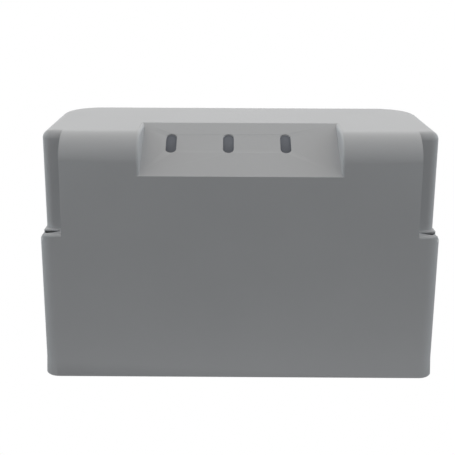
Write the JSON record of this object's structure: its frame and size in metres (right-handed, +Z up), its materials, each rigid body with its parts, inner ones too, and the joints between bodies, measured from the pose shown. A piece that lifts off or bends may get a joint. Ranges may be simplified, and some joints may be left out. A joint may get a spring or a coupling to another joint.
{
  "type": "wall battery unit",
  "caption": "Wall-hung lithium battery under a grey moulded lift-off hood with stepped shoulders, notched upper corners and a sloping slotted cable panel.",
  "frame": {"origin": "middle of the foot of the unit, in the plane it would stand on", "axes": "+X to the right as seen from the front, +Y towards the wall, +Z up"},
  "size_m": [0.6024, 0.2532, 0.377],
  "materials": {
    "hood_grey": "fine moulded texture",
    "steel_zinc": "zinc plated",
    "steel_dark": "powder coated",
    "rubber_black": "matt",
    "can_blue": "aluminium can in blue film",
    "plate_alu": "milled",
    "foam_grey": "closed-cell foam",
    "copper": "bare copper",
    "brass": "nickel-free brass",
    "clear_plastic": "clear polycarbonate",
    "insulator_white": "glass-filled nylon",
    "black_plastic": "moulded",
    "red_plastic": "moulded",
    "board_green": "solder mask",
    "chip_black": "moulded",
    "ceramic_white": "glazed",
    "lamp_green": "light pipe"
  },
  "bodies": {
    "chassis": {"address_switch": "red_plastic", "back_plate": "steel_dark", "bar_breaker_positive": "copper", "bar_contactor_negative": "copper", "bar_fuse_breaker": "copper", "bar_shunt_contactor": "copper", "base_tray": "steel_dark", "bms_board": "board_green", "bms_heatsink": "plate_alu", "bms_parts": "chip_black", "bms_spreader": "plate_alu", "breaker_body": "insulator_white", "buffers": "rubber_black", "busbars": "copper", "button_case": "black_plastic", "cell_column_1": "can_blue", "cell_column_2": "can_blue", "cell_column_3": "can_blue", "cell_column_4": "can_blue", "cell_cover": "clear_plastic", "cell_pads": "foam_grey", "chassis_rivets": "steel_zinc", "column_links": "copper", "comm_board": "board_green", "comm_sockets": "black_plastic", "contactor": "black_plastic", "din_rail": "steel_zinc", "earth_stud": "brass", "end_plate_front": "plate_alu", "end_plate_rear": "plate_alu", "feet": "rubber_black", "fuse": "ceramic_white", "fuse_base": "black_plastic", "lamps": "lamp_green", "lock_screws": "steel_zinc", "m6_nuts": "steel_zinc", "pillars": "brass", "power_studs": "steel_zinc", "risers": "copper", "shelf": "steel_dark", "shelf_posts": "steel_dark", "shelf_screws": "steel_zinc", "shunt": "brass", "shunt_base": "black_plastic", "spacer_tubes": "steel_zinc", "terminal_blocks": "insulator_white", "terminal_nuts": "steel_zinc", "terminal_studs": "brass", "tie_rods": "steel_zinc", "tray_liner": "insulator_white", "wall_bracket": "steel_dark"},
    "hood": {"hood": "hood_grey", "hood_screws": "steel_zinc", "hood_nuts": "steel_zinc"},
    "breaker_lever": {"breaker_lever": "black_plastic"},
    "cap_positive": {"terminal_cap_positive": "red_plastic"},
    "cap_negative": {"terminal_cap_negative": "black_plastic"},
    "fuse_cover": {"fuse_cover": "clear_plastic"},
    "power_button": {"power_button": "red_plastic"}
  },
  "joints": [
    {"name": "hood_lift", "type": "slide", "parent": "chassis", "child": "hood", "axis": [0, 0, 1], "range_m": [0, 0.4]},
    {"name": "breaker_throw", "type": "hinge", "parent": "chassis", "child": "breaker_lever", "pos_m": [-0.209, -0.0514, 0.2945], "axis": [1, 0, 0], "range_deg": [0, 60]},
    {"name": "cap_positive_flip", "type": "hinge", "parent": "chassis", "child": "cap_positive", "pos_m": [-0.1025, -0.0384, 0.258], "axis": [-1, 0, 0], "range_deg": [0, 105]},
    {"name": "cap_negative_flip", "type": "hinge", "parent": "chassis", "child": "cap_negative", "pos_m": [-0.0175, -0.0384, 0.258], "axis": [-1, 0, 0], "range_deg": [0, 105]},
    {"name": "fuse_cover_flip", "type": "hinge", "parent": "chassis", "child": "fuse_cover", "pos_m": [-0.1302, 0.04185, 0.249], "axis": [0, 1, 0], "range_deg": [0, 100]},
    {"name": "button_press", "type": "slide", "parent": "chassis", "child": "power_button", "axis": [0, 0, -1], "range_m": [0, 0.0025], "stiffness_N_per_m": 400, "springref_m": -0.001}
  ]
}
